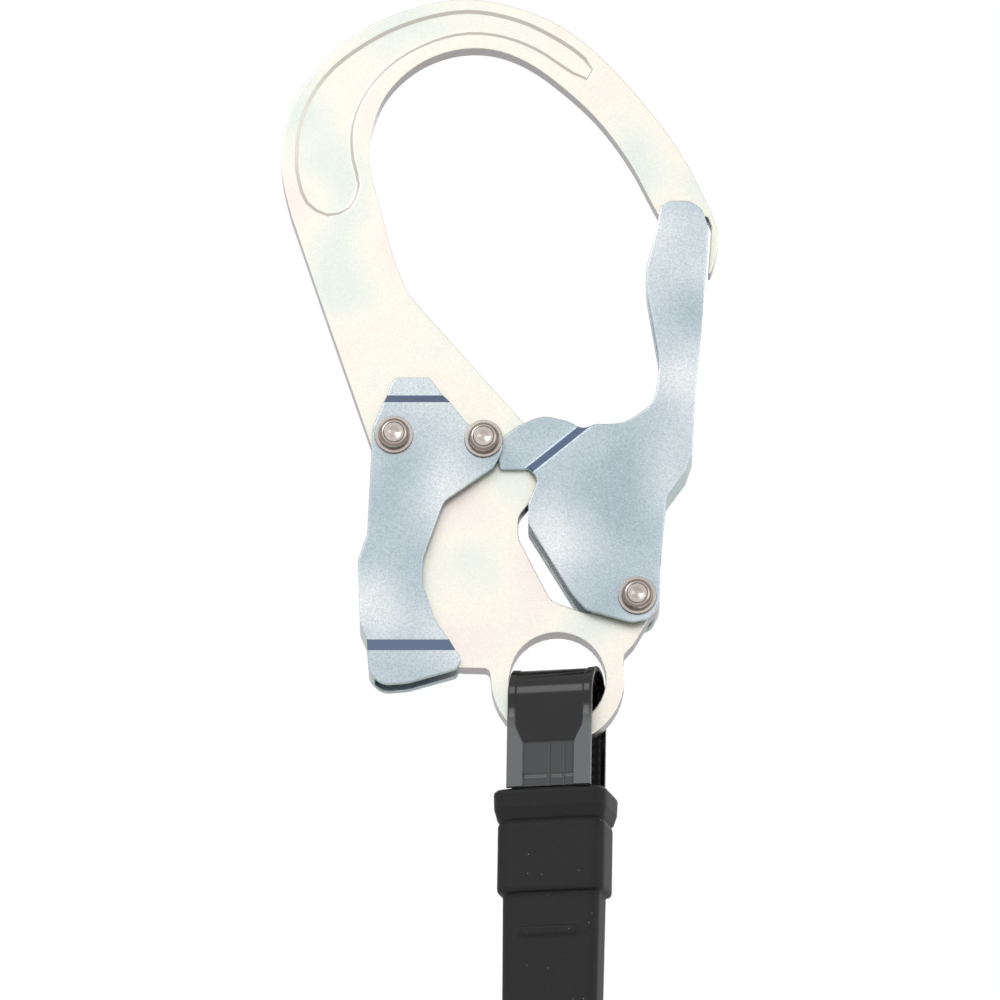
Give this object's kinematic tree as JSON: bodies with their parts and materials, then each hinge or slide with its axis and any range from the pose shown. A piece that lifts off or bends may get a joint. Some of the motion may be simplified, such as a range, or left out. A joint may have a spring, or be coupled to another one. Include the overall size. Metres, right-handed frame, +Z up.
{
  "type": "self retracting lifeline",
  "caption": "Self-retracting webbing lifeline with a large double-action scaffold hook, a thimble and rubber sleeve, and a compact spring-driven retractor on a swivel eye.",
  "frame": {"origin": "top of the hook's inner edge, where a scaffold tube bears, in the plate's middle plane", "axes": "+Z up along the hook, +X towards the gate, +Y through the plate from front to back"},
  "size_m": [0.1253, 0.086, 0.4502],
  "materials": {
    "plate_zinc": "yellow-tinted zinc plating, satin",
    "sheet_zinc": "blue-white zinc plating, satin",
    "nickel": "nickel plating, bright",
    "spring_steel": "drawn wire and strip",
    "gloss_plastic": "moulded, glossy",
    "rubber": "moulded, matt",
    "webbing": "plain-woven webbing",
    "case_plastic": "moulded, fine texture",
    "frame_steel": "plated steel",
    "bronze": "sintered bronze"
  },
  "bodies": {
    "hook": {"hook_body": "plate_zinc", "gate_rivet": "nickel", "lever_rivet": "nickel", "gate_washer_front": "nickel", "gate_washer_back": "nickel", "lever_washer_front": "nickel", "lever_washer_back": "nickel", "gate_spring_front": "spring_steel", "gate_spring_back": "spring_steel", "lever_spring_front": "spring_steel", "lever_spring_back": "spring_steel"},
    "gate": {"gate": "sheet_zinc"},
    "lever": {"lever": "sheet_zinc", "lock_rivet": "nickel", "lock_washer_front": "nickel", "lock_washer_back": "nickel"},
    "lanyard": {"thimble_cover": "gloss_plastic", "thimble_latch": "gloss_plastic", "thimble_saddle": "gloss_plastic", "webbing_loop": "webbing", "rubber_sleeve": "rubber", "strap": "webbing"},
    "retractor": {"casing_left": "case_plastic", "casing_right": "case_plastic", "casing_screw_1": "nickel", "casing_screw_2": "nickel", "casing_screw_3": "nickel", "casing_screw_4": "nickel", "steel_frame": "frame_steel", "bushing_left": "bronze", "bushing_right": "bronze", "pawl_pin": "frame_steel", "pawl_spring": "spring_steel", "spring_cup": "case_plastic", "spring_cover": "case_plastic", "power_spring": "spring_steel", "mouth_guide": "gloss_plastic", "mouth_bumper": "rubber", "swivel_collar": "nickel"},
    "spool": {"spool_shaft": "frame_steel", "spool_hub": "case_plastic", "webbing_roll": "webbing", "spool_flange_left": "frame_steel", "spool_flange_right": "frame_steel", "ratchet_wheel": "frame_steel"},
    "pawl": {"lock_pawl": "frame_steel"},
    "swivel": {"swivel_eye": "nickel"}
  },
  "joints": [
    {"name": "gate_swing", "type": "hinge", "parent": "hook", "child": "gate", "pos_m": [0.046, 0, -0.164], "axis": [0, -1, 0], "range_deg": [0, 38], "stiffness_Nm_per_rad": 0.2, "springref_deg": -57.3},
    {"name": "lever_squeeze", "type": "hinge", "parent": "hook", "child": "lever", "pos_m": [-0.0234, 0, -0.1164], "axis": [0, -1, 0], "range_deg": [0, 7], "stiffness_Nm_per_rad": 0.6, "springref_deg": -28.65},
    {"name": "lanyard_swing", "type": "hinge", "parent": "hook", "child": "lanyard", "pos_m": [0.0233, 0, -0.1875], "axis": [0, -1, 0], "range_deg": [-45, 45]},
    {"name": "line_payout", "type": "slide", "parent": "lanyard", "child": "retractor", "axis": [-0.0152, 0.0038, -0.9999], "range_m": [0, 0.03], "stiffness_N_per_m": 60, "springref_m": -0.25},
    {"name": "spool_spin", "type": "hinge", "parent": "retractor", "child": "spool", "pos_m": [0.02747, 0.02802, -0.36148], "axis": [-0.9702, 0.2419, 0.0157], "range_deg": [0, 62]},
    {"name": "pawl_drop", "type": "hinge", "parent": "retractor", "child": "pawl", "pos_m": [0.03125, 0.04151, -0.33598], "axis": [0.9702, -0.2419, -0.0157], "range_deg": [0, 5], "stiffness_Nm_per_rad": 0.002, "springref_deg": -28.65},
    {"name": "swivel_turn", "type": "hinge", "parent": "retractor", "child": "swivel", "pos_m": [0.02342, 0.0145, -0.40347], "axis": [0.0152, -0.0038, 0.9999], "continuous": true}
  ],
  "couplings": [
    {"joint": "spool_spin", "follows": "line_payout", "rad_per_m": 35.842}
  ]
}
